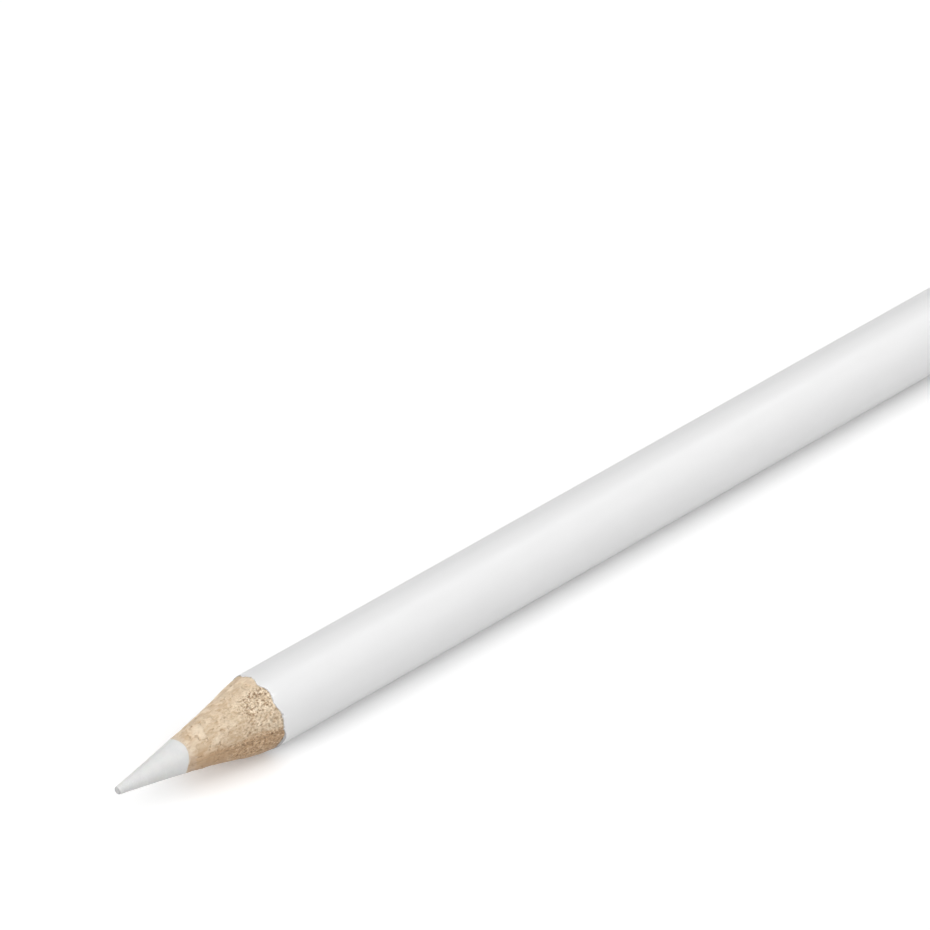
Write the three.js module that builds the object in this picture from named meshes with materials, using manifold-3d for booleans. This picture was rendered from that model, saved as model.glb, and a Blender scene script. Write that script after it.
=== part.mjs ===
// A wood-cased fabric marking pencil: a white waxy chalk core, glued between two grooved
// slats of wood, coated white and ground to a hollow-sided factory point.
//
// Millimetres, +Z up. The pencil lies on its barrel along X, with its point at -X. The origin
// is on the surface that it lies on, below the middle of its length. -Y is the near side.
//
// The pieces are made as a pencil factory makes them: round blanks of the full section first,
// then one grinding of the whole stack, which bares the wood and the core in one sweep.

import * as THREE from 'three';
import { mergeVertices } from 'three/addons/utils/BufferGeometryUtils.js';
import Module from 'manifold-3d';

// The section, from the axis outwards
const coreDiameter = 3.5;
const coreGlueThickness = 0.05;
const seamGlueThickness = 0.06;
const groundCoatThickness = 0.03;
const lacquerThickness = 0.05;
const barrelDiameter = 7.5;

// The length, and the sanded edge of the square-cut rear end
const pencilLength = 175;
const rearEdgeBreak = 0.2;

// The ground point: its length runs from the blunt tip to the foremost part of the paint edge
const pointLength = 16.5;
const tipDiameter = 0.76;
const tipRounding = 0.1;
const grindHollow = 0.25;

// The paint edge: the grinding wheel leaves shallow lobes round the point, with a cusp
// between each two, and the first cusp lies a small turn from the top towards the near side
const lobeCount = 10;
const lobeDepth = 0.38;
const firstCuspDegrees = 9;

// How finely the round forms are faceted
const barrelSides = 32;
const coreSides = 24;
const stepsPerLobe = 8;
const pointStations = 18;
const tipRoundingSteps = 3;

// Sizes that follow from those above
const barrelRadius = barrelDiameter / 2;
const groundCoatRadius = barrelRadius - lacquerThickness;
const woodRadius = groundCoatRadius - groundCoatThickness;
const coreRadius = coreDiameter / 2;
const boreRadius = coreRadius + coreGlueThickness;
const tipRadius = tipDiameter / 2;
const blankOverrun = barrelRadius;

// Vertices closer than this are one vertex
const mergeDistance = 1e-4;

const wasm = await Module();
wasm.setup();

// A closed three.js geometry as a solid that can be joined and cut.
function solidFrom(geometry) {
  geometry.deleteAttribute('normal');
  geometry.deleteAttribute('uv');
  const merged = mergeVertices(geometry, mergeDistance);
  const corners = merged.index.array;
  const triangles = [];
  for (let i = 0; i < corners.length; i += 3) {
    const [a, b, c] = corners.slice(i, i + 3);
    if (a !== b && b !== c && c !== a) triangles.push(a, b, c);
  }
  const vertProperties = new Float32Array(merged.attributes.position.array);
  const triVerts = new Uint32Array(triangles);
  return new wasm.Manifold(new wasm.Mesh({ numProp: 3, vertProperties, triVerts }));
}

// A solid back as a three.js geometry, with one flat normal to each facet.
function geometryFrom(solid) {
  const mesh = solid.getMesh();
  const geometry = new THREE.BufferGeometry();
  geometry.setAttribute('position', new THREE.BufferAttribute(mesh.vertProperties, 3));
  geometry.setIndex(new THREE.BufferAttribute(mesh.triVerts, 1));
  const faceted = geometry.toNonIndexed();
  faceted.computeVertexNormals();
  return faceted;
}

// The solids are made standing on their tip: the distance from the tip runs up +Y, the top
// of the lying pencil is +Z, and its near side is +X.

// A profile of (radius, distance from the tip) turned about the pencil's axis. A side of the
// turned form faces the top, so that with four, eight or more sides one also faces down.
function turned(profile, sides) {
  const halfSide = Math.PI / sides;
  return new THREE.LatheGeometry(profile, sides, halfSide, 2 * Math.PI);
}

// A round blank, longer than the finished pencil at both ends. The radius is that of its
// flats, so that faceted pieces that fit round each other touch all along.
function blank(radius, sides) {
  const cornerRadius = radius / Math.cos(Math.PI / sides);
  const profile = [
    new THREE.Vector2(0, -blankOverrun),
    new THREE.Vector2(cornerRadius, -blankOverrun),
    new THREE.Vector2(cornerRadius, pencilLength + blankOverrun),
    new THREE.Vector2(0, pencilLength + blankOverrun),
  ];
  return solidFrom(turned(profile, sides));
}

// A block as long as a blank, between two widths and two heights from the pencil's axis.
function block(fromWidth, toWidth, fromHeight, toHeight) {
  const width = toWidth - fromWidth;
  const height = toHeight - fromHeight;
  const geometry = new THREE.BoxGeometry(width, pencilLength + 2 * blankOverrun, height);
  geometry.translate((fromWidth + toWidth) / 2, pencilLength / 2, (fromHeight + toHeight) / 2);
  return solidFrom(geometry);
}

// The radius of the ground side, at a share of the point's length. It is a straight cone from
// the tip to the barrel, less the hollow that the round face of the wheel leaves.
function groundRadius(share) {
  const straight = tipRadius + (barrelRadius - tipRadius) * share;
  return straight - 4 * grindHollow * share * (1 - share);
}

// The outline that the grinding leaves, from the middle of the tip to the middle of the rear.
function finishedProfile() {
  const profile = [new THREE.Vector2(0, 0)];
  for (let i = 0; i <= tipRoundingSteps; i++) {
    const angle = (Math.PI / 2) * (i / tipRoundingSteps);
    const radius = tipRadius - tipRounding + tipRounding * Math.sin(angle);
    const distance = tipRounding - tipRounding * Math.cos(angle);
    profile.push(new THREE.Vector2(radius, distance));
  }
  for (let i = 1; i <= pointStations + 1; i++) {
    const share = i / pointStations;
    profile.push(new THREE.Vector2(groundRadius(share), share * pointLength));
  }
  const clearRadius = profile[profile.length - 1].x;
  const chamferStart = pencilLength - rearEdgeBreak - (clearRadius - barrelRadius);
  profile.push(new THREE.Vector2(clearRadius, chamferStart));
  profile.push(new THREE.Vector2(barrelRadius - rearEdgeBreak, pencilLength));
  profile.push(new THREE.Vector2(0, pencilLength));
  return profile;
}

// How far the ground side is set back at an angle from the top: nothing at a cusp, and the
// whole depth in the middle of a lobe.
function lobeSetBack(angle) {
  const firstCusp = THREE.MathUtils.degToRad(firstCuspDegrees);
  return lobeDepth * Math.abs(Math.sin((lobeCount / 2) * (angle - firstCusp)));
}

// The finished outside of the pencil: the outline turned round, with the wood's part of the
// ground side set back into lobes that die away towards the core.
function finishedOutside() {
  const geometry = turned(finishedProfile(), lobeCount * stepsPerLobe);
  const position = geometry.attributes.position;
  for (let i = 0; i < position.count; i++) {
    const radius = Math.hypot(position.getX(i), position.getZ(i));
    const angle = Math.atan2(position.getX(i), position.getZ(i));
    const rise = (radius - coreRadius) / (barrelRadius - coreRadius);
    const onPoint = position.getY(i) < pencilLength / 2;
    if (onPoint && rise > 0) {
      position.setY(i, position.getY(i) + rise ** 2 * lobeSetBack(angle));
    }
  }
  return solidFrom(geometry);
}

const finished = finishedOutside();
const coreBlank = blank(coreRadius, coreSides);
const boreBlank = blank(boreRadius, coreSides);
const woodBlank = blank(woodRadius, barrelSides);
const groundCoatBlank = blank(groundCoatRadius, barrelSides);
const barrelBlank = blank(barrelRadius, barrelSides);
const casing = woodBlank.subtract(boreBlank);

// The upper and lower slats share a level seam through the axis, filled with glue.
const seamHalf = seamGlueThickness / 2;
const upperHalf = block(-barrelRadius, barrelRadius, seamHalf, barrelRadius);
const lowerHalf = block(-barrelRadius, barrelRadius, -barrelRadius, -seamHalf);
const nearSeam = block(0, barrelRadius, -seamHalf, seamHalf);
const farSeam = block(-barrelRadius, 0, -seamHalf, seamHalf);

function material(name, color, roughness) {
  return new THREE.MeshStandardMaterial({ name, color, roughness, metalness: 0 });
}

const chalk = material('white waxy chalk', 0xe6e7e5, 0.6);
const glue = material('dried wood glue', 0xcdb58c, 0.5);
const paleWood = material('pale ground wood', 0xdcbf9f, 0.8);
const brownWood = material('browner ground wood', 0xb4926f, 0.8);
const filler = material('white ground coat', 0xe9e7e2, 0.7);
const lacquer = material('satin white lacquer', 0xf1f1f1, 0.3);

// The pencil lies down: its length turns from +Y to +X, and its barrel rests on z = 0.
const pencil = new THREE.Group();
pencil.name = 'fabric_marking_pencil';
pencil.rotation.z = -Math.PI / 2;
pencil.position.set(-pencilLength / 2, 0, barrelRadius);

function addPiece(name, blankSolid, pieceMaterial) {
  const piece = new THREE.Mesh(geometryFrom(blankSolid.intersect(finished)), pieceMaterial);
  piece.name = name;
  pencil.add(piece);
}

addPiece('core', coreBlank, chalk);
addPiece('core_glue', boreBlank.subtract(coreBlank), glue);
addPiece('upper_slat', casing.intersect(upperHalf), paleWood);
addPiece('lower_slat', casing.intersect(lowerHalf), brownWood);
addPiece('near_seam_glue', casing.intersect(nearSeam), glue);
addPiece('far_seam_glue', casing.intersect(farSeam), glue);
addPiece('ground_coat', groundCoatBlank.subtract(woodBlank), filler);
addPiece('white_lacquer', barrelBlank.subtract(groundCoatBlank), lacquer);

export default pencil;
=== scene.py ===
# %% [markdown]
# A fabric marking pencil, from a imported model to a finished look
#
# The object is a round pencil for drawing on cloth: a white chalky core in a case of two
# glued slats, lacquered white, with a point that the factory ground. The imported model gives
# the real sizes. This script reads them and makes a fine surface for every piece.

# %% Load the frame
import math

import bmesh
import bpy
from mathutils import Matrix, Vector, noise


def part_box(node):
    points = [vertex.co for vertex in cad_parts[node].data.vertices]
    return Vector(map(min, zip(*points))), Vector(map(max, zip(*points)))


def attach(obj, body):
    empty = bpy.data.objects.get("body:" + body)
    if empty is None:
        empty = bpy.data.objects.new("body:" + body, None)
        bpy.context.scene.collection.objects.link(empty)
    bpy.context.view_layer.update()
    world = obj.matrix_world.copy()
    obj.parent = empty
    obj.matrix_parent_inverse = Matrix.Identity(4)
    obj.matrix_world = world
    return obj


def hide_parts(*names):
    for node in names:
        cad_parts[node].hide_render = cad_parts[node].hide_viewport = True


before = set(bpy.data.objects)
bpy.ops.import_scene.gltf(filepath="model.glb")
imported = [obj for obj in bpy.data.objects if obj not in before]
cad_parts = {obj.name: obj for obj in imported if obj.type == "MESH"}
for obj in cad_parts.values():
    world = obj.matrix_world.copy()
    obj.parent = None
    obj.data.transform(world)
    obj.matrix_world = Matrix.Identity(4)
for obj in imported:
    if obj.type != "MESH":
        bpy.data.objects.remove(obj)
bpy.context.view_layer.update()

MM = 0.001
print("nodes:", sorted(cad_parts))

# %% [markdown]
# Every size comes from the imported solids. Each sleeve of the pencil is as thick as the step
# between two boxes, so a change of the model changes the look with it. A round solid's box
# is as wide as its diameter, and the lengths are measured from the tip. The tip and the
# height of the axis are places in the frame, in metres. All other lengths are millimetres.

# %% Read the sizes
def node_radius(node):
    """Half the width of a node that goes all the way round."""
    low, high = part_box(node)
    return (high.y - low.y) / 2 / MM


core_low, core_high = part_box("core")
seam_low, seam_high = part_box("near_seam_glue")
lacquer_low, lacquer_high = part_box("white_lacquer")

TIP = core_low.x
AXIS_HEIGHT = (lacquer_low.z + lacquer_high.z) / 2
LENGTH = (core_high.x - TIP) / MM
POINT = (lacquer_low.x - TIP) / MM
SEAM_HALF = (seam_high.z - seam_low.z) / 2 / MM
CORE = node_radius("core")
BORE = node_radius("core_glue")
WOOD = node_radius("upper_slat")
GROUND = node_radius("ground_coat")
BARREL = node_radius("white_lacquer")
print(f"length {LENGTH:.1f}, barrel {2 * BARREL:.2f}, core {2 * CORE:.2f}, point {POINT:.2f} mm")

# %% [markdown]
# The ground side is hollow, because the round face of a grinding wheel made it. A wheel's arc
# this shallow is a parabola to the eye, so the radius at a share of the point's length is a
# straight cone less a parabola. The pieces need it the other way round, as the distance from
# the tip at which the side has a given radius, and that is the root of the same parabola.
#
# The coats are brittle, so the wheel breaks them off in a steep step instead of a bevel. For
# that the wood comes up to the paint edge a little early, by most of the coats' thickness.

# %% The ground side of the point
TIP_RADIUS = 0.38
TIP_ROUNDING = 0.1
GRIND_HOLLOW = 0.18
REAR_EDGE_BREAK = 0.2
COAT_STEEPNESS = 0.85


def held(value):
    """A value held between 0 and 1."""
    return min(1.0, max(0.0, value))


def flank_distance(radius):
    """The distance from the tip at which the smooth ground side has a radius."""
    square = 4 * GRIND_HOLLOW
    linear = BARREL - TIP_RADIUS - square
    constant = TIP_RADIUS - radius
    root = math.sqrt(linear ** 2 - 4 * square * constant)
    return POINT * (root - linear) / (2 * square)


def front_distance(radius):
    """The same with the blunt tip, a flat end with a rounded rim, and the coats' steep end."""
    flat = TIP_RADIUS - TIP_ROUNDING
    if radius <= flat:
        return 0.0
    if radius < TIP_RADIUS:
        inward = radius - flat
        return TIP_ROUNDING - math.sqrt(TIP_ROUNDING ** 2 - inward ** 2)
    share = held((radius - BORE) / (WOOD - BORE))
    through = held((BARREL - radius) / (BARREL - WOOD))
    lifted = (BARREL - WOOD) * COAT_STEEPNESS * share ** 2 * through
    return max(flank_distance(radius + lifted), TIP_ROUNDING)


def rear_distance(radius):
    """The square-cut rear end, with its sanded edge, as a distance from the tip."""
    return LENGTH - max(0.0, radius - (BARREL - REAR_EDGE_BREAK))


print(f"the side is {flank_distance(CORE):.2f} mm from the tip at the core's edge")

# %% [markdown]
# No two pencils have the same paint edge. The wheel bounces a little, so the edge runs in
# lobes with a cusp between each two. Each lobe here is an angle where it starts, in degrees
# from the top towards the near side, how far back its first cusp lies, and how deep it is.
# Half a sine between two cusps gives the round lobe. Fractal noise makes the edge ragged, and
# the peaks of a finer noise are the nicks where a chip of the coats came away.

# %% The lobes of the paint edge
LOBES = [
    (8, 0.02, 0.38), (44, 0.20, 0.24), (87, 0.42, 0.28), (122, 0.50, 0.22), (159, 0.05, 0.36),
    (194, 0.10, 0.30), (232, 0.04, 0.38), (268, 0.12, 0.28), (303, 0.40, 0.27), (334, 0.00, 0.34),
]
RAGGED_DEPTH = 0.06
NICK_DEPTH = 0.3
NICK_FLOOR = 0.2
NICK_PLACE = Vector((9, 4, 7))


def lobe_setback(turn):
    """How far the paint edge lies behind the foremost cusp, at an angle from the top."""
    degrees = math.degrees(turn) % 360
    for index, (start, cusp, depth) in enumerate(LOBES):
        end, next_cusp, _ = LOBES[(index + 1) % len(LOBES)]
        span = (end - start) % 360
        inside = (degrees - start) % 360
        if inside < span:
            share = inside / span
            return cusp + (next_cusp - cusp) * share + depth * math.sin(math.pi * share)
    return 0.0


def fractal(place, octaves, smoothness=1.0):
    """Noise round 0 with finer noise on top: each octave is twice as fine as the last."""
    return noise.fractal(place, smoothness, 2.0, octaves)


def ragged(turn, radius):
    """The fine raggedness of an edge that a wheel tore rather than cut."""
    around = Vector((math.cos(turn), math.sin(turn), 0)) * radius
    rough = fractal(around * 2.4, 5, smoothness=0.7)
    nicks = max(0.0, noise.noise(around * 4.0 + NICK_PLACE) - NICK_FLOOR)
    return RAGGED_DEPTH * rough + NICK_DEPTH * nicks


first_start, second_start = math.radians(LOBES[0][0]), math.radians(LOBES[1][0])
print(f"setback at the first cusp {lobe_setback(first_start):.2f} mm, and in the middle of its "
      f"lobe {lobe_setback((first_start + second_start) / 2):.2f} mm")

# %% [markdown]
# The bore never runs quite in the middle of the wood, and the core never sits quite in the
# middle of its bore: it lies against one side, and the glue film is thicker on the other. The
# bore is two grooves face to face, so it is also a little oval. A map from the nominal radius
# to the real one moves the core, the glue and the wood round them at once, and dies away
# towards the outside, which stays round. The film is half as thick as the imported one, give or
# take nearly as much.

# %% The core's wander in the wood
BORE_OFFSET = 0.153
BORE_OFFSET_TURN = math.radians(-122)
BORE_OVAL = 0.082
BORE_OVAL_TURN = math.radians(39)
FILM_SHARE = 0.5
FILM_SWING = 0.42
THICK_FILM_TURN = math.radians(-115)


def wandered(radius, turn):
    """A nominal radius moved with the bore and the core."""
    bore_edge = BORE + BORE_OFFSET * math.cos(turn - BORE_OFFSET_TURN)
    bore_edge += BORE_OVAL * math.cos(2 * (turn - BORE_OVAL_TURN))
    film_share = FILM_SHARE + FILM_SWING * math.cos(turn - THICK_FILM_TURN)
    core_edge = bore_edge - (BORE - CORE) * film_share
    if radius <= CORE:
        return radius * core_edge / CORE
    if radius < BORE:
        return core_edge + (bore_edge - core_edge) * (radius - CORE) / (BORE - CORE)
    if radius < WOOD:
        return bore_edge + (WOOD - bore_edge) * (radius - BORE) / (WOOD - BORE)
    return radius


print(f"the core reaches {wandered(CORE, 0):.2f} mm above the axis "
      f"and {wandered(CORE, math.pi):.2f} mm below it")

# %% [markdown]
# Torn grain is what makes bare ground wood look like wood. Where the wheel runs against the
# fibres it lifts them, worst where it leaves the wood at the paint edge, and where it runs
# with them it leaves a smooth side with broad flaps and a few short cracks round their edges.
# First come the zones where the wood tore. Each has smooth ends, so that one passes into the
# next.

# %% Where the grain is torn
# The middle and half width of each zone's angle in degrees, where it starts and is at its
# worst on the way from the core to the paint edge, and how strong it is.
TORN_ZONES = [
    (27, 23, 0.5, 0.8, 1.0), (68, 32, 0.25, 0.85, 0.6), (108, 32, 0.2, 0.55, 0.85),
    (50, 62, 0.0, 0.35, 0.2), (236, 46, 0.35, 1.0, 0.9),
]
TORN_FULLY_WITHIN = 0.75


def smooth_step(value, low, high):
    """0 at the low end, 1 at the high end and smooth between. The ends may be swapped."""
    share = held((value - low) / (high - low))
    return share * share * (3 - 2 * share)


def degrees_apart(turn, middle):
    """How far an angle lies from another that is given in degrees, the short way round."""
    return abs((math.degrees(turn) - middle + 180) % 360 - 180)


def tear_zone(share, turn):
    """1 where the wood is torn worst and 0 where it is smooth."""
    strongest = 0.0
    for middle, half_width, start, worst, strength in TORN_ZONES:
        across = smooth_step(degrees_apart(turn, middle) / half_width, 1.0, TORN_FULLY_WITHIN)
        strongest = max(strongest, strength * across * smooth_step(share, start, worst))
    return strongest


print("torn at the paint edge:", round(tear_zone(1.0, math.radians(22)), 2))

# %% [markdown]
# Fractal noise in bent space gives the torn fibres, and one level of a slower noise gives the
# edges of the flaps and their cracks. The depth goes into the mesh, so the light finds real
# edges. How torn the wood is goes along with it as an attribute, and so do a painted
# highlight on the raised fibres and flaps and painted shade in the troughs and cracks, so
# that colour and relief agree.

# %% How the torn grain looks
TEAR_DEPTH = 0.1
ZONE_DRIFT = 0.25
# How far noise bends the space that the grain is read in, in millimetres, and how fine it is.
# Blender takes the start of this noise from the clock unless one is set.
BENDS = [(0.16, 2.2), (0.04, 6.0)]
BEND_START = 1795749142
noise.seed_set(BEND_START)
# How deep the middle level lies, and how far each form goes below it or stands above it, as
# shares of the tear depth
TORN_LEVEL, GRAIN_RISE = 0.5, 0.95
SMOOTH_LEVEL, FIBRE_DEPTH, FLAP_RISE, CRACK_DEPTH = 0.3, 0.16, 0.3, 0.6
CRACK_LEVEL, CRACK_WIDTH = -0.04, 0.09
# How much painted highlight the raised flaps get, and how much painted shade the cracks get
FLAP_HIGHLIGHT, CRACK_SHADE = 0.5, 0.85
FLAP_PLACE = Vector((40, 0, 0))


def drawn(place, along, across):
    """A place for noise to be read at, finer or coarser along the pencil than across it."""
    return Vector((place.x * along, place.y * across, place.z * across))


def torn(distance, radius, turn):
    """The depth of the surface in tear depths, how torn it is, and its painted highlight and
    shade.
    """
    place = Vector((distance, -radius * math.sin(turn), radius * math.cos(turn)))
    share = (distance - flank_distance(BORE)) / (POINT - flank_distance(BORE))
    drift = ZONE_DRIFT * noise.noise(place * 0.8)
    zone = tear_zone(share + drift, turn + 0.4 * drift)

    bent = place.copy()
    for reach, fineness in BENDS:
        bent += reach * noise.noise_vector(place * fineness)
    grain = fractal(drawn(bent, 4.0, 4.8), 3, smoothness=0.5)
    fibre = fractal(drawn(place, 0.3, 3.0), 4)
    flap = fractal(bent * 1.3 + FLAP_PLACE, 2)
    patch = smooth_step(flap, -0.02, 0.12)
    crack = max(0.0, 1 - abs(flap - CRACK_LEVEL) / CRACK_WIDTH)
    crack *= smooth_step(noise.noise(place * 1.7), 0.02, 0.2)

    smooth = SMOOTH_LEVEL + FIBRE_DEPTH * fibre - FLAP_RISE * patch + CRACK_DEPTH * crack
    deep = (1 - zone) * smooth + zone * (TORN_LEVEL - GRAIN_RISE * grain)
    # Painted highlight where the grain and flaps stand up, painted shade in its troughs and the
    # cracks
    painted_highlight = zone * smooth_step(grain, 0.12, 0.5) + FLAP_HIGHLIGHT * (1 - zone) * patch
    painted_shade = zone * smooth_step(-grain, 0.15, 0.55) + CRACK_SHADE * (1 - zone) * crack
    return deep, zone, painted_highlight, painted_shade


half_way = (flank_distance(BORE) + POINT) / 2
print("depth, zone, bright and dark half way up:",
      [round(look, 2) for look in torn(half_way, (BORE + WOOD) / 2, 0.0)])

# %% [markdown]
# All the pieces are sleeves round one axis, so they are made the way that a factory makes
# them. First comes a plain round blank: one profile, spun. In the blank, X is only the share
# of the way from the front face, 0, to the rear face, 1, and the radius is the nominal one.
# Then one function grinds every blank, by moving each vertex to its real place. Neighbours
# share the function, so they meet without a gap, whatever shape the grinding has.

# %% Blanks
def steps(low, high, count):
    """Evenly spaced values from low to high, both included."""
    return [low + (high - low) * i / count for i in range(count + 1)]


# The stations along a blank lie close together behind the front face
ALONG = steps(0.0, 0.02, 4) + steps(0.02, 1.0, 20)[1:]


def section(radii, rear_radii):
    """The outline of a sleeve's cut section as a row of edges, left open for a rod."""
    front = [(0.0, radius) for radius in radii]
    outer = [(share, radii[-1]) for share in ALONG[1:]]
    rear = [(1.0, radius) for radius in reversed(rear_radii[:-1])]
    inner = [(share, radii[0]) for share in reversed(ALONG[1:-1])]
    rod = radii[0] == 0
    points = front + outer + rear + ([] if rod else inner)
    bm = bmesh.new()
    first = last = bmesh.ops.create_vert(bm, co=(points[0][0], 0, points[0][1]))["vert"][0]
    for share, radius in points[1:]:
        last = bmesh.ops.extrude_vert_indiv(bm, verts=[last])["verts"][0]
        last.co = (share, 0, radius)
    if not rod:
        bmesh.ops.contextual_create(bm, geom=[first, last])
    return bm


def spin(bm, turns, angle, closed):
    """Sweeps a section round the axis, and joins the ends where it is closed."""
    bmesh.ops.spin(bm, geom=bm.verts[:] + bm.edges[:], axis=(1, 0, 0), cent=(0, 0, 0),
                   angle=angle, steps=turns, use_merge=closed)


def sleeve_blank(radii, turns, rear_radii=None):
    """A closed ring from the first radius to the last, or a rod where the first is 0."""
    bm = section(radii, rear_radii or radii)
    spin(bm, turns, 2 * math.pi, closed=True)
    bmesh.ops.remove_doubles(bm, verts=bm.verts, dist=1e-6)
    return bm


def half_blank(radii, rear_radii, turns, upper):
    """Half a ring, over or under the seam, closed by its two flat sides."""
    bm = section(radii, rear_radii)
    start = Matrix.Rotation(math.radians(-90 if upper else 90), 3, "X")
    bmesh.ops.rotate(bm, verts=bm.verts, cent=(0, 0, 0), matrix=start)
    spin(bm, turns, math.pi, closed=False)
    bmesh.ops.holes_fill(bm, edges=[edge for edge in bm.edges if edge.is_boundary], sides=0)
    return bm


print(len(ALONG), "stations along a blank")

# %% [markdown]
# The share along X and the radius say where in the pencil a vertex belongs, and the angle
# says which lobe it meets. The wheel pressed harder on the far side than on the near one, so
# that side is a little hollower, and both shoulders are fuller, the near one more. The lobes'
# setback dies away towards the core with the square of the rise, because the wheel only
# bounced at the end of its stroke, and the raggedness is gone even sooner.

# %% The place of a vertex
# The middle and half width of an angle in degrees, and how strongly the side is moved there
HOLLOWER = (-40, 40, 1.3)
FULLER = [(128, 36, 12), (-52, 26, 5)]
MOVED_FULLY_WITHIN = 0.35


def lying(distance, radius, turn, lift=0.0):
    """The place in the frame of a distance, radius and angle from the top, in metres."""
    return Vector((
        TIP + distance * MM,
        -radius * math.sin(turn) * MM,
        AXIS_HEIGHT + (radius * math.cos(turn) + lift) * MM,
    ))


def moved(turn, middle, half_width, strength):
    """The whole strength near an angle, falling to 0 at the half width from it."""
    core_width = MOVED_FULLY_WITHIN * half_width
    return strength * smooth_step(degrees_apart(turn, middle), half_width, core_width)


def front_place(radius, turn):
    """The distance from the tip of the ground side, at a real radius and angle."""
    distance = front_distance(radius)
    if radius > CORE:
        rise = (radius - CORE) / (BARREL - CORE)
        hollower = moved(turn, *HOLLOWER) * rise * (1 - rise)
        fuller = sum(moved(turn, *shoulder) for shoulder in FULLER) * rise ** 4 * (1 - rise)
        distance += hollower - fuller
        distance += rise ** 2 * lobe_setback(turn) + rise ** 8 * ragged(turn, radius)
    return distance


def place_along(share, radius, turn):
    """The distance from the tip at a share of the way from the front face to the rear."""
    front = front_place(radius, turn)
    return front + (rear_distance(radius) - front) * share


print(f"the paint edge on top is {place_along(0, BARREL, 0):.2f} mm from the tip")

# %% [markdown]
# Grinding moves each vertex of a blank to that place. Vertices of a slat's front face are
# also lowered by the torn grain, square to the cone, and keep how torn they are and their
# painted highlight and painted shade. The slats turn away from the seam by the angle that
# leaves room for the glue film between them.

# %% Grind a blank
FRONT_LIMIT = 1e-6
SIDE_CLIMB = 0.22
SIDE_SLOPE = math.atan(SIDE_CLIMB)
# How torn each vertex is, and its painted highlight and painted shade for the shader
LOOKS = ("torn_zone", "chip_painted_highlight", "crack_painted_shade")


def off_the_seam(turn, radius, middle):
    """An angle drawn in towards the middle of its slat, to make room for the glue film."""
    gap = math.asin(SEAM_HALF / radius)
    from_middle = (turn - middle + math.pi) % (2 * math.pi) - math.pi
    return middle + from_middle * (1 - gap / (math.pi / 2))


def grind(bm, middle=None):
    """Moves each vertex to its place in the ground pencil. Only a slat has a middle."""
    layers = [bm.verts.layers.float.new(name) for name in LOOKS]
    for vert in bm.verts:
        share, nominal = vert.co.x, math.hypot(vert.co.y, vert.co.z)
        turn = math.atan2(-vert.co.y, vert.co.z)
        if middle is not None:
            turn = off_the_seam(turn, nominal, middle)
        radius = wandered(nominal, turn)
        distance = place_along(share, radius, turn)
        if middle is not None and share < FRONT_LIMIT:
            deep, *looks = torn(distance, radius, turn)
            for layer, look in zip(layers, looks):
                vert[layer] = look
            radius -= TEAR_DEPTH * deep * math.cos(SIDE_SLOPE)
            distance += TEAR_DEPTH * deep * math.sin(SIDE_SLOPE)
        vert.co = lying(distance, radius, turn)


print(f"the side climbs at {math.degrees(SIDE_SLOPE):.1f} degrees")

# %% [markdown]
# A finished piece is shaded smooth, except over the edges that the wheel and the saw left
# sharp. It rides on the pencil's one body, stands for the solid that it replaces, and names
# the material slot of that solid.

# %% Finish a piece
SHARP = math.radians(32)


def finish_piece(bm, name, material, node):
    """Puts a ground blank into the scene, in place of the solid that it stands for."""
    bmesh.ops.recalc_face_normals(bm, faces=bm.faces)
    for face in bm.faces:
        face.smooth = True
    for edge in bm.edges:
        edge.smooth = edge.calc_face_angle(0.0) < SHARP
    mesh = bpy.data.meshes.new(name)
    bm.to_mesh(mesh)
    bm.free()
    piece = bpy.data.objects.new(name, mesh)
    bpy.context.scene.collection.objects.link(piece)
    mesh.materials.append(material)
    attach(piece, "root")
    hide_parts(node)
    print(f"{name}: {len(mesh.polygons)} faces")


# %% [markdown]
# The materials are node trees, and a node takes several lines to add, set and link. A few
# helpers turn each kind of node into one call, which gives back the output to use next.

# %% Helpers for node trees
def add(tree, kind, **values):
    """A node with its properties set, and its inputs set or linked by name or number."""
    node = tree.nodes.new(kind)
    for key, value in values.items():
        if not key.startswith("in_"):
            setattr(node, key, value)
            continue
        name = key[3:].replace("_", " ")
        socket = node.inputs[int(name) if name.isdigit() else name]
        if isinstance(value, bpy.types.NodeSocket):
            tree.links.new(value, socket)
        else:
            socket.default_value = value
    return node


def math_node(tree, operation, first, second=0.0, third=0.0):
    """The result of a sum on up to three values."""
    return add(tree, "ShaderNodeMath", operation=operation,
               in_0=first, in_1=second, in_2=third).outputs[0]


def plus(tree, value, other, share):
    """A value with a share of another one added to it."""
    return math_node(tree, "ADD", value, math_node(tree, "MULTIPLY", other, share))


def vector_node(tree, operation, first, second=(0, 0, 0)):
    """The result of a sum on vectors: a value for a length or a dot product."""
    node = add(tree, "ShaderNodeVectorMath", operation=operation, in_0=first, in_1=second)
    return node.outputs["Value" if operation in ("LENGTH", "DOT_PRODUCT") else "Vector"]


def remap(tree, value, low, high, to_low=0.0, to_high=1.0):
    """A value taken smoothly from one range to another."""
    return add(tree, "ShaderNodeMapRange", interpolation_type="SMOOTHSTEP", in_Value=value,
               in_From_Min=low, in_From_Max=high, in_To_Min=to_low, in_To_Max=to_high).outputs[0]


def mix_colors(tree, factor, first, second):
    """Two colours mixed by a factor."""
    return add(tree, "ShaderNodeMix", data_type="RGBA",
               in_0=factor, in_6=first, in_7=second).outputs[2]


def mix_values(tree, factor, first, second):
    """Two values mixed by a factor."""
    return add(tree, "ShaderNodeMix", data_type="FLOAT",
               in_0=factor, in_2=first, in_3=second).outputs[0]


def noise_node(tree, vector, scale, detail=3.0, roughness=0.5, along=None):
    """Noise from 0 to 1 in space, drawn out along the pencil where its scale along is given."""
    if along is not None:
        vector = vector_node(tree, "MULTIPLY", vector, (along, 1, 1))
    return add(tree, "ShaderNodeTexNoise", in_Vector=vector, in_Scale=scale, in_Detail=detail,
               in_Roughness=roughness).outputs[0]


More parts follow.
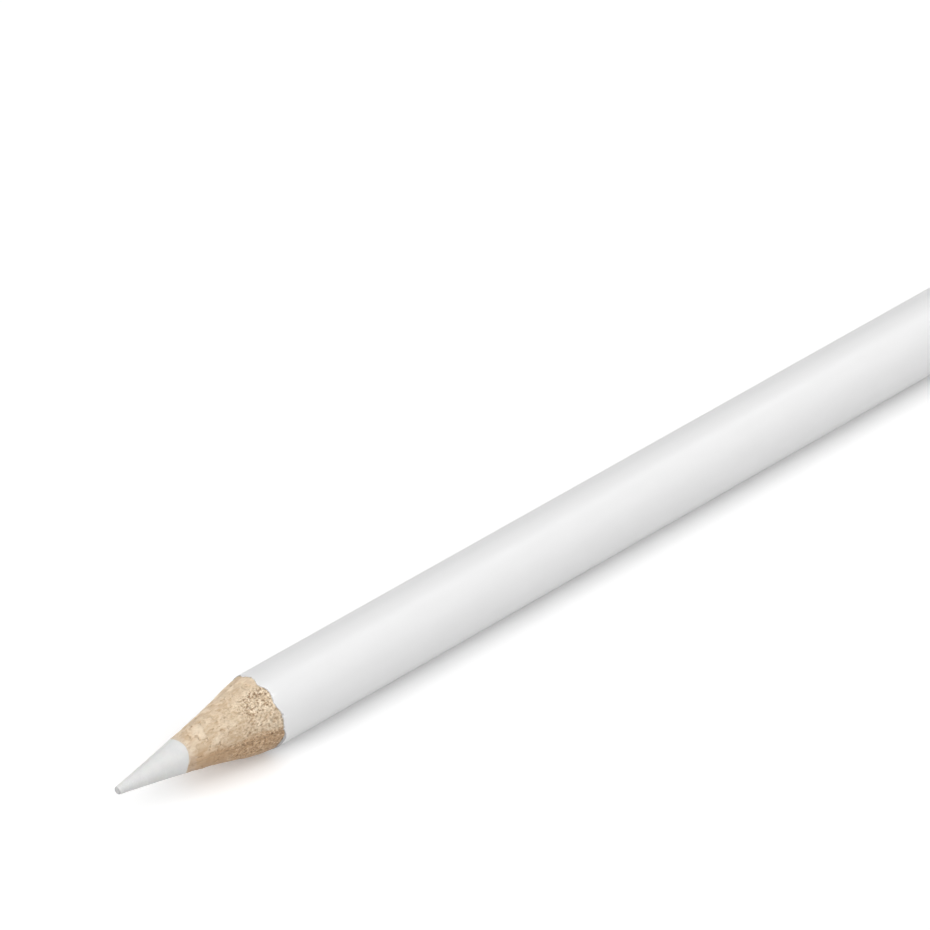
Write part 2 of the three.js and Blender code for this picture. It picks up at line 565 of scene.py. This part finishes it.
def new_group(name, inputs, outputs):
    """An empty node group with named sockets, and its input and output nodes."""
    group = bpy.data.node_groups.new(name, "ShaderNodeTree")
    for direction, sockets in (("INPUT", inputs), ("OUTPUT", outputs)):
        for socket_name, kind in sockets:
            group.interface.new_socket(name=socket_name, in_out=direction, socket_type=kind)
    return group, group.nodes.new("NodeGroupInput"), group.nodes.new("NodeGroupOutput")


# %% [markdown]
# The materials all need to know where in the pencil a point lies. A node group turns Object
# coordinates into millimetres from the tip and from the axis, and gives the radius too.
# Groups only hand on numbers and colours: the shaders stay in each material.

# %% Group: where in the pencil
FLOAT, VECTOR = "NodeSocketFloat", "NodeSocketVector"


def make_place_group():
    """Object coordinates to millimetres from the tip and the axis, and the radius."""
    group, start, end = new_group("place in the pencil", [("Position", VECTOR)],
                                  [("Millimetres", VECTOR), ("Along", FLOAT), ("Radius", FLOAT)])
    centred = vector_node(group, "SUBTRACT", start.outputs[0], (TIP, 0, AXIS_HEIGHT))
    millimetres = vector_node(group, "MULTIPLY", centred, (1 / MM, 1 / MM, 1 / MM))
    parts = add(group, "ShaderNodeSeparateXYZ", in_0=millimetres)
    across = vector_node(group, "MULTIPLY", millimetres, (0, 1, 1))
    group.links.new(millimetres, end.inputs["Millimetres"])
    group.links.new(parts.outputs["X"], end.inputs["Along"])
    group.links.new(vector_node(group, "LENGTH", across), end.inputs["Radius"])
    return group


PLACE = make_place_group()
print("group:", PLACE.name)

# %% [markdown]
# Everything on the pencil that was ground or rubbed has fine scratches, which run round it
# because the pencil turned against the wheel. One group makes them for the core, the glue and
# the ground coat: noise drawn out round the axis, thin along it. A slower noise sways them.

# %% Group: grinding scratches
SCRATCH_SWAY = 0.8
SCRATCH_DRAWN = 0.09


def make_scratch_group():
    """Fine scratches round the axis, from 0 to 1."""
    group, start, end = new_group("grinding scratches",
                                  [("Millimetres", VECTOR), ("Per millimetre", FLOAT)],
                                  [("Scratches", FLOAT)])
    millimetres, per_millimetre = start.outputs[0], start.outputs[1]
    slow = add(group, "ShaderNodeTexNoise", in_Vector=millimetres, in_Scale=0.5)
    sway = vector_node(group, "MULTIPLY", slow.outputs["Color"], (SCRATCH_SWAY, 0, 0))
    bent = vector_node(group, "ADD", millimetres, sway)
    drawn_out = vector_node(group, "MULTIPLY", bent, (1, SCRATCH_DRAWN, SCRATCH_DRAWN))
    lines = noise_node(group, drawn_out, per_millimetre, detail=2.0, roughness=0.6)
    group.links.new(lines, end.inputs["Scratches"])
    return group


SCRATCHES = make_scratch_group()
print("group:", SCRATCHES.name)

# %% [markdown]
# Each material starts in the same way, with its shader and the place in the pencil, and ends
# with relief that is too fine for the mesh.

# %% Parts of every material
def start_material(name):
    """A material, its tree and its shader, and the outputs of the place in the pencil."""
    material = bpy.data.materials.new(name)
    material.use_nodes = True
    tree = material.node_tree
    position = add(tree, "ShaderNodeTexCoord").outputs["Object"]
    place = add(tree, "ShaderNodeGroup", node_tree=PLACE, in_Position=position)
    return material, tree, tree.nodes["Principled BSDF"], place.outputs


def scratches(tree, millimetres, per_millimetre):
    """The shared scratches, at a material's own fineness."""
    return add(tree, "ShaderNodeGroup", node_tree=SCRATCHES, in_Millimetres=millimetres,
               in_Per_millimetre=per_millimetre).outputs[0]


def surface(tree, shader, color, roughness, height, depth):
    """Gives a shader its colour and roughness, and relief of a depth in millimetres."""
    relief = add(tree, "ShaderNodeBump", in_Height=height, in_Distance=depth * MM)
    tree.links.new(color, shader.inputs["Base Color"])
    tree.links.new(roughness, shader.inputs["Roughness"])
    tree.links.new(relief.outputs[0], shader.inputs["Normal"])


# %% [markdown]
# The lacquer is a sprayed and dragged white that sits in several coats: not quite smooth, a
# soft gloss, and quite neutral. Its cut edge at the point was ground, so there it is matt, and
# it is painted grey as shade on the step. The mask for that is the radius: only the outside
# has the full one.

# %% White lacquer
LACQUER_WHITE = (0.875, 0.874, 0.875, 1)
LACQUER_SHADE = (0.78, 0.78, 0.775, 1)
# The cut edge is painted grey as shade
LACQUER_CUT_PAINTED_SHADE = (0.47, 0.455, 0.46, 1)
CUT_ROUGHNESS = 0.62


def lacquer_material():
    """Satin outside, with faint clouds and rubbed places, matt and painted grey as shade where
    cut.
    """
    material, tree, shader, place = start_material("satin white lacquer")
    millimetres = place["Millimetres"]
    outside = remap(tree, place["Radius"], BARREL - 0.012, BARREL - 0.002)
    cloud = noise_node(tree, millimetres, 0.35, along=0.12)
    rubbed = noise_node(tree, millimetres, 0.9, detail=4.0, along=0.3)
    shade = math_node(tree, "ADD", remap(tree, cloud, 0.3, 0.7, to_high=0.05),
                      remap(tree, rubbed, 0.35, 0.65, to_high=0.07))
    body = mix_colors(tree, shade, LACQUER_WHITE, LACQUER_SHADE)
    gloss = remap(tree, rubbed, 0.35, 0.65, to_low=0.29, to_high=0.33)
    wave = noise_node(tree, millimetres, 0.55, detail=1.0, roughness=0.3, along=0.25)
    surface(tree, shader, mix_colors(tree, outside, LACQUER_CUT_PAINTED_SHADE, body),
            mix_values(tree, outside, CUT_ROUGHNESS, gloss), wave, depth=0.008)
    return material


LACQUER = lacquer_material()
print("material:", LACQUER.name)

# %% [markdown]
# Under the lacquer lies the ground coat, a chalky filler that shows only as a thin matt line
# at the paint edge and at the rear. Its grey is painted darker than the filler, as shade on
# the step where the coats broke off. The glue films are thinner still. Dried wood glue is a
# translucent yellow brown, but round the core it is full of white dust from the grinding.

# %% Ground coat and glue
DUST_SPREAD = 0.25


def film_material(name, color, dust_color, dust_share):
    """A thin matt film with a little dust worked into it."""
    material, tree, shader, place = start_material(name)
    dust = noise_node(tree, place["Millimetres"], 3.5, detail=4.0)
    lines = scratches(tree, place["Millimetres"], 9.0)
    share = remap(tree, plus(tree, dust, lines, 0.3), 0.5, 0.85,
                  dust_share - DUST_SPREAD, dust_share + DUST_SPREAD)
    surface(tree, shader, mix_colors(tree, share, color, dust_color),
            remap(tree, dust, 0.3, 0.7, to_low=0.6, to_high=0.8), dust, depth=0.01)
    return material


# The ground coat's grey is painted darker, as shade on the step where the coats broke off
GROUND_COAT = film_material("chalky ground coat", color=(0.42, 0.39, 0.36, 1),
                            dust_color=(0.52, 0.5, 0.47, 1), dust_share=0.5)
CORE_GLUE = film_material("dusty core glue", color=(0.62, 0.5, 0.36, 1),
                          dust_color=(0.7, 0.63, 0.54, 1), dust_share=0.4)
SEAM_GLUE = film_material("dried seam glue", color=(0.36, 0.24, 0.13, 1),
                          dust_color=(0.56, 0.42, 0.28, 1), dust_share=0.4)
print("materials:", [film.name for film in (GROUND_COAT, CORE_GLUE, SEAM_GLUE)])

# %% [markdown]
# The core is pressed chalk, clay and wax. It is white but duller than the lacquer, a little
# translucent at the skin, and nearly matt. Grinding leaves faint scratches round it and small
# bright nicks near the tip. The blunt end is painted grey, as painted shade.

# %% Waxy chalk
CHALK = (0.71, 0.71, 0.7, 1)
CHALK_SHADE = (0.66, 0.66, 0.655, 1)
CHALK_SCRATCH = (0.78, 0.78, 0.77, 1)
CHALK_NICK = (0.88, 0.88, 0.87, 1)
# Painted shade on the blunt end at the tip
PAINTED_END_SHADE = (0.34, 0.34, 0.34, 1)


def chalk_material():
    """Mottled and scratched chalk, with nicks near the tip and a blunt end painted grey as shade.
    """
    material, tree, shader, place = start_material("waxy white chalk")
    millimetres, along = place["Millimetres"], place["Along"]
    lines = scratches(tree, millimetres, 6.0)
    mottle = noise_node(tree, millimetres, 1.3, detail=4.0)
    specks = remap(tree, noise_node(tree, millimetres, 11.0, detail=1.0), 0.6, 0.72, to_high=0.6)
    near_tip = remap(tree, along, 0.5, 4.5, to_low=1.0, to_high=0.0)
    # Where the blunt end is painted grey as shade
    end_shade_mask = remap(tree, along, 0.02, 0.16, to_low=1.0, to_high=0.0)
    color = mix_colors(tree, remap(tree, mottle, 0.35, 0.65, to_high=0.6), CHALK, CHALK_SHADE)
    color = mix_colors(tree, remap(tree, lines, 0.62, 0.78, to_high=0.5), color, CHALK_SCRATCH)
    color = mix_colors(tree, math_node(tree, "MULTIPLY", specks, near_tip), color, CHALK_NICK)
    color = mix_colors(tree, end_shade_mask, color, PAINTED_END_SHADE)
    surface(tree, shader, color, remap(tree, mottle, 0.3, 0.7, to_low=0.42, to_high=0.6),
            plus(tree, mottle, lines, 0.7), depth=0.012)
    shader.inputs["Subsurface Weight"].default_value = 0.08
    shader.inputs["Subsurface Scale"].default_value = 0.4 * MM
    return material


CHALK_CORE = chalk_material()
print("material:", CHALK_CORE.name)

# %% [markdown]
# The wood is pale, soft and straight-grained. A growth ring, as the distance from a pith line
# outside the pencil, parts a pale side from a browner one. Fine fibres are noise drawn out
# along the pencil, and each ring ends in a thin darker line of late wood.

# %% Wood: rings and fibres
PITH = (0.0, 0.17, -12.2)
BROWN_UNTIL, PALE_FROM = 13.3, 14.2
RING_WOBBLE = 1.3
RING_SPACING = 0.42
PALE_WOOD = (0.635, 0.505, 0.355, 1)
BROWN_WOOD = (0.48, 0.31, 0.175, 1)
# Late wood and pores, and the painted shade in cracks and sunken flecks
DARK_GRAIN_AND_SHADE = (0.2, 0.115, 0.055, 1)


def growth_rings(tree, millimetres, own):
    """The distance from the pith, which wobbles as a tree's rings do."""
    from_pith = vector_node(tree, "SUBTRACT", millimetres, PITH)
    across = vector_node(tree, "MULTIPLY", from_pith, (0, 1, 1))
    wobble = noise_node(tree, own, 1.3, detail=5.0, roughness=0.6, along=0.2)
    return plus(tree, vector_node(tree, "LENGTH", across), wobble, RING_WOBBLE)


def grain_color(tree, own, rings, brown, fibre):
    """The colour of sound wood."""
    late = math_node(tree, "SINE", math_node(tree, "MULTIPLY", rings, 2 * math.pi / RING_SPACING))
    tone = noise_node(tree, own, 1.1, detail=2.0, along=0.5)
    color = mix_colors(tree, brown, PALE_WOOD, BROWN_WOOD)
    color = mix_colors(tree, remap(tree, late, 0.3, 1.0, to_high=0.12), color, DARK_GRAIN_AND_SHADE)
    color = mix_colors(tree, remap(tree, fibre, 0.42, 0.66, to_high=0.5), color, BROWN_WOOD)
    return mix_colors(tree, remap(tree, tone, 0.4, 0.62, to_high=0.25), color, BROWN_WOOD)


# %% [markdown]
# Flaps and torn tops get a painted highlight, paler than sound wood, and cracks get painted
# shade, darker. Both come from the attributes that the grinding left. A slow noise adds pale
# patches in the same colour at random. Inside the torn zones a finer noise adds flecks as small
# as single fibres, roundish on the pale wood and in rows along the grain on the brown, where
# pale tops also stand out less. The same noise raises the relief where the flecks are light
# and sinks it where they are dark, so they are partly the wood's own speckle and partly
# painted highlight and painted shade.

# %% Wood: torn tops, cracks and flecks, with painted highlight and shade
# Pale patches, and the painted highlight on torn tops, flaps and light flecks
PALE_PATCH_AND_HIGHLIGHT = (0.85, 0.725, 0.565, 1)
BROWN_PATCH_AND_HIGHLIGHT = (0.74, 0.56, 0.38, 1)


def attribute(tree, name):
    """What the grinding wrote into the mesh, as a value."""
    return add(tree, "ShaderNodeAttribute", attribute_name=name).outputs["Fac"]


def torn_color(tree, own, brown, top, color):
    """A wood colour with pale patches, painted highlight on the flaps and painted shade in the
    cracks.
    """
    patch = remap(tree, noise_node(tree, own, 0.9), 0.48, 0.66, to_high=0.4)
    # Painted highlight on raised tops and flaps, painted shade in the cracks
    painted_highlight = math_node(tree, "MULTIPLY", attribute(tree, "chip_painted_highlight"), 0.6)
    painted_shade = math_node(tree, "MULTIPLY", attribute(tree, "crack_painted_shade"), 0.6)
    showing = math_node(tree, "MULTIPLY_ADD", brown, -0.55, 1.0)
    for mask in (patch, painted_highlight):
        color = mix_colors(tree, math_node(tree, "MULTIPLY", mask, showing), color, top)
    return mix_colors(tree, painted_shade, color, DARK_GRAIN_AND_SHADE)


def fleck_color(tree, fleck, torn_zone, top, color):
    """A wood colour with the flecks of the torn zones: partly speckle, partly painted highlight
    and shade.
    """
    # Light flecks stand up and dark ones sink: partly speckle, partly painted highlight and shade
    light = remap(tree, fleck, 0.53, 0.63)
    painted_shade = remap(tree, fleck, 0.46, 0.34, to_high=0.9)
    color = mix_colors(tree, math_node(tree, "MULTIPLY", light, torn_zone), color, top)
    return mix_colors(tree, math_node(tree, "MULTIPLY", painted_shade, torn_zone), color, DARK_GRAIN_AND_SHADE)


# %% [markdown]
# Pores are short dark strokes, and close to the core some white dust is rubbed into the wood.
# Bare wood scatters light over its fibres, so it has a low gloss and a faint sheen. Both slats
# come from one board, and an offset in space gives each a figure of its own.

# %% Wood
WAX_DUST = (0.8, 0.77, 0.72, 1)


def wood_material(name, offset):
    """Ground wood, with its figure set apart by an offset."""
    material, tree, shader, place = start_material(name)
    own = vector_node(tree, "ADD", place["Millimetres"], offset)
    rings = growth_rings(tree, place["Millimetres"], own)
    brown = remap(tree, rings, BROWN_UNTIL, PALE_FROM, to_low=1.0, to_high=0.0)
    fibre = noise_node(tree, own, 4.2, detail=4.0, roughness=0.62, along=0.16)
    pores = noise_node(tree, own, 5.0, detail=1.0, along=0.45)
    fleck = mix_values(tree, brown, noise_node(tree, own, 4.6, roughness=0.65, along=0.7),
                       noise_node(tree, own, 6.5, roughness=0.65, along=0.35))
    torn_zone = attribute(tree, "torn_zone")
    # The colour of the pale patches and of the painted highlight
    top = mix_colors(tree, brown, PALE_PATCH_AND_HIGHLIGHT, BROWN_PATCH_AND_HIGHLIGHT)
    reach = plus(tree, place["Radius"], noise_node(tree, own, 2.6, detail=4.0), -0.2)
    dusty = remap(tree, reach, BORE - 0.12, BORE - 0.06, to_low=0.15, to_high=0.0)

    color = grain_color(tree, own, rings, brown, fibre)
    color = torn_color(tree, own, brown, top, color)
    color = fleck_color(tree, fleck, torn_zone, top, color)
    color = mix_colors(tree, remap(tree, pores, 0.68, 0.76, to_high=0.5), color, DARK_GRAIN_AND_SHADE)
    color = mix_colors(tree, dusty, color, WAX_DUST)
    height = plus(tree, plus(tree, fibre, pores, -0.8), fleck, torn_zone)
    surface(tree, shader, color, remap(tree, fibre, 0.3, 0.7, to_low=0.62, to_high=0.86),
            height, depth=0.03)
    shader.inputs["IOR"].default_value = 1.4
    shader.inputs["Sheen Weight"].default_value = 0.12
    shader.inputs["Sheen Roughness"].default_value = 0.6
    return material


UPPER_WOOD = wood_material("pale ground wood", (0, 0, 0))
LOWER_WOOD = wood_material("browner ground wood", (31, 7, 5))
print("materials:", [wood.name for wood in (UPPER_WOOD, LOWER_WOOD)])

# %% [markdown]
# The core and its glue film are one rod in one ring. The core's front carries most of its
# rings of vertices: close together round the tip's rim, and then evenly up the side. Noise
# moves them in and out a little, because pressed chalk doesn't grind quite even.

# %% Make the core and its glue
CORE_TURNS = 160
CHALK_RELIEF = 0.006
# Gives the relief a direction in the middle of the blunt end, where the radius is 0
ALONG_LEAN = 0.3


def make_core():
    """The rod of chalk, with its slightly uneven point."""
    rim = [0.0, 0.1, 0.19] + steps(TIP_RADIUS - TIP_ROUNDING, TIP_RADIUS - 0.001, 7)
    flank = steps(TIP_RADIUS + 0.016, CORE, 70)
    bm = sleeve_blank(rim + flank, CORE_TURNS, steps(0.0, CORE, 6))
    grind(bm)
    for vert in bm.verts:
        place = (vert.co - Vector((TIP, 0, AXIS_HEIGHT))) / MM
        if place.x < POINT:
            outwards = Vector((ALONG_LEAN, place.y, place.z)).normalized()
            vert.co += outwards * (-CHALK_RELIEF * fractal(place * 2.2, 4)) * MM
    finish_piece(bm, "chalk_core", CHALK_CORE, "core")


def make_core_glue():
    """The film round the core."""
    bm = sleeve_blank(steps(CORE, BORE, 3), CORE_TURNS)
    grind(bm)
    finish_piece(bm, "core_glue_film", CORE_GLUE, "core_glue")


make_core()
make_core_glue()

# %% [markdown]
# Each slat is half a sleeve: the outline of the long section, spun half round, with its two
# flat seam faces filled in afterwards. The front is fine enough for flakes a fifth of a
# millimetre wide, because there the light has to catch them.

# %% Make the slats
FRONT_RINGS, HALF_TURNS = ((120, 200))


def make_slat(name, material, node, upper):
    """One half of the wooden case."""
    bm = half_blank(steps(BORE, WOOD, FRONT_RINGS), steps(BORE, WOOD, 6), HALF_TURNS, upper)
    grind(bm, middle=0.0 if upper else math.pi)
    finish_piece(bm, name, material, node)


make_slat("upper_wood", UPPER_WOOD, "upper_slat", upper=True)
make_slat("lower_wood", LOWER_WOOD, "lower_slat", upper=False)

# %% [markdown]
# The seam films are a sheet of the long section each, thickened to the gap that the slats
# leave. Their front edge follows the same torn side as the wood beside them.

# %% Make the seam films
def make_seam(name, node, side):
    """The film on one side of the core: 1 is the near side and -1 the far one."""
    bm = bmesh.new()
    bmesh.ops.create_grid(bm, x_segments=len(ALONG) - 1, y_segments=120, size=0.5)
    turn = side * math.pi / 2
    for vert in bm.verts:
        share = ALONG[round((vert.co.x + 0.5) * (len(ALONG) - 1))]
        radius = wandered(BORE + (WOOD - BORE) * (vert.co.y + 0.5), turn)
        distance = place_along(share, radius, turn)
        if share < FRONT_LIMIT:
            deep = torn(distance, radius, turn)[0]
            distance += TEAR_DEPTH * deep / math.tan(SIDE_SLOPE)
        vert.co = lying(distance, radius, turn, lift=-SEAM_HALF)
    sheet = bmesh.ops.extrude_face_region(bm, geom=bm.faces[:])
    raised = [part for part in sheet["geom"] if isinstance(part, bmesh.types.BMVert)]
    bmesh.ops.translate(bm, verts=raised, vec=(0, 0, 2 * SEAM_HALF * MM))
    finish_piece(bm, name, SEAM_GLUE, node)


make_seam("near_seam_film", "near_seam_glue", 1)
make_seam("far_seam_film", "far_seam_glue", -1)

# %% [markdown]
# The two coats are thin rings. Their front is the steep step where the wheel broke them off,
# with the same lobes and the same ragged edge as the wood in front of it.

# %% Make the coats
COAT_TURNS = 360


def make_coat(radii, name, material, node):
    """One coat round the wood."""
    bm = sleeve_blank(radii, COAT_TURNS)
    grind(bm)
    finish_piece(bm, name, material, node)


make_coat(steps(WOOD, GROUND, 3), "ground_coat_ring", GROUND_COAT, "ground_coat")
make_coat(steps(GROUND, BARREL, 4), "lacquer_barrel", LACQUER, "white_lacquer")

# %% [markdown]
# The pencil lies on white paper. To the camera the floor is white and keeps the shadow, with
# a little glow, because the photographer let the paper burn out to pure white. To the pencil
# it is a pale grey, as real paper is, so its underside isn't lit more than it should be.

# %% Floor
FLOOR_TO_CAMERA = (1.0, 1.0, 1.0, 1)
FLOOR_TO_PENCIL = (0.74, 0.74, 0.74, 1)
FLOOR_LIFT = 0.1
FLOOR_REACH = 6.0


def paper_material():
    """White paper to the camera, and a pale grey one to everything else."""
    material = bpy.data.materials.new("white paper")
    material.use_nodes = True
    tree = material.node_tree
    tree.nodes.remove(tree.nodes["Principled BSDF"])
    seen = add(tree, "ShaderNodeLightPath").outputs["Is Camera Ray"]
    color = mix_colors(tree, seen, FLOOR_TO_PENCIL, FLOOR_TO_CAMERA)
    paper = add(tree, "ShaderNodeBsdfDiffuse", in_Color=color)
    lift = math_node(tree, "MULTIPLY", seen, FLOOR_LIFT)
    glow = add(tree, "ShaderNodeEmission", in_Strength=lift)
    both = add(tree, "ShaderNodeAddShader", in_0=paper.outputs[0], in_1=glow.outputs[0])
    tree.links.new(both.outputs[0], tree.nodes["Material Output"].inputs[0])
    return material


def make_floor():
    """A sheet so wide, in metres, that no view of the pencil shows its edge."""
    bm = bmesh.new()
    bmesh.ops.create_grid(bm, x_segments=1, y_segments=1, size=FLOOR_REACH)
    mesh = bpy.data.meshes.new("floor")
    bm.to_mesh(mesh)
    bm.free()
    mesh.materials.append(paper_material())
    floor = bpy.data.objects.new("floor", mesh)
    bpy.context.scene.collection.objects.link(floor)
    print(f"floor {2 * FLOOR_REACH:.0f} m wide")


make_floor()

# %% [markdown]
# The light was worked back from the shading in the photograph. Most of it comes low from the
# side that the point faces, where the ground wood is brightest, and a weaker fill comes from
# the near side. Each soft box is a direction and an elevation, both in degrees, and a
# strength. A cosine's eighth power gives it soft edges. The camera sees the world as white.

# %% World
SOFT_BOXES = [
    (180, 20, 1.95), (180, 35, 3.07), (157, 20, 1.97), (270, 20, 0.95), (315, 20, 0.27),
    (315, 52, 1.23),
]
SOFT_BOX_POWER = 8.0


def make_world():
    """A world of soft boxes for the pencil, and plain white for the camera."""
    world = bpy.data.worlds.new("studio")
    bpy.context.scene.world = world
    world.use_nodes = True
    tree = world.node_tree
    background = tree.nodes["Background"]
    direction = add(tree, "ShaderNodeTexCoord").outputs["Generated"]
    level = 0.0
    for azimuth, elevation, strength in SOFT_BOXES:
        around, up = math.radians(azimuth), math.radians(elevation)
        aim = (math.cos(up) * math.cos(around), math.cos(up) * math.sin(around), math.sin(up))
        toward = math_node(tree, "MAXIMUM", vector_node(tree, "DOT_PRODUCT", direction, aim), 0.0)
        spread = math_node(tree, "POWER", toward, SOFT_BOX_POWER)
        level = plus(tree, level, spread, strength)
    seen = add(tree, "ShaderNodeLightPath").outputs["Is Camera Ray"]
    tree.links.new(mix_values(tree, seen, level, 1.0), background.inputs["Strength"])
    background.inputs["Color"].default_value = (1, 1, 1, 1)
    print(len(SOFT_BOXES), "soft boxes")


make_world()

# %% [markdown]
# One lamp stands high at the rear end's side. It draws the soft streak along the barrel and
# the darker shadow close under it. Its square is large, so the shadow's edge stays soft.

# %% Lamp
LAMP_DIRECTION = Vector((0.54, 0.06, 0.84)).normalized()
LAMP_DISTANCE = 1.1
LAMP_SIZE = 0.35
LAMP_POWER = 0.87


def make_lamp():
    """A square lamp that faces the pencil. Its lengths are in metres."""
    lamp = bpy.data.lights.new("soft_lamp", "AREA")
    lamp.shape = "SQUARE"
    lamp.size = LAMP_SIZE
    lamp.energy = LAMP_POWER
    holder = bpy.data.objects.new("soft_lamp", lamp)
    bpy.context.scene.collection.objects.link(holder)
    holder.location = LAMP_DIRECTION * LAMP_DISTANCE
    holder.rotation_euler = LAMP_DIRECTION.to_track_quat("Z", "Y").to_euler()
    print("lamp at", [round(place, 2) for place in holder.location])


make_lamp()

# %% [markdown]
# The camera stands where the photographer's did. The barrel narrows by a sixteenth over the
# frame, which gives the distance, and the paint edge's half ellipse gives the angle to the
# axis. A long lens at two thirds of a metre follows from both. It aims at a point beside the
# barrel, on the far side, so that the pencil lies in the frame as in the photograph.

# %% Camera
VIEW_DOWN = math.radians(37.26)
VIEW_TURN = math.radians(47.62)
VIEW_DISTANCE = 0.6828
FRAME_PIXELS = 930
FOCAL_PIXELS = 7151
SENSOR = 36.0
AIM_BEHIND_TIP = 55.87
AIM_BESIDE_AXIS = 14.70


def make_camera():
    """The photographer's camera. Its distance is in metres."""
    data = bpy.data.cameras.new("camera")
    data.sensor_width = SENSOR
    data.lens = FOCAL_PIXELS * SENSOR / FRAME_PIXELS
    data.clip_start = 0.01
    camera = bpy.data.objects.new("camera", data)
    bpy.context.scene.collection.objects.link(camera)
    forward = Vector((
        math.cos(VIEW_DOWN) * math.cos(VIEW_TURN),
        math.cos(VIEW_DOWN) * math.sin(VIEW_TURN),
        -math.sin(VIEW_DOWN),
    ))
    aim = Vector((TIP + AIM_BEHIND_TIP * MM, AIM_BESIDE_AXIS * MM, AXIS_HEIGHT))
    camera.location = aim - forward * VIEW_DISTANCE
    camera.rotation_euler = forward.to_track_quat("-Z", "Y").to_euler()
    bpy.context.scene.camera = camera
    print(f"a lens of {data.lens:.0f} mm")


make_camera()
bpy.context.scene.view_settings.view_transform = "Standard"
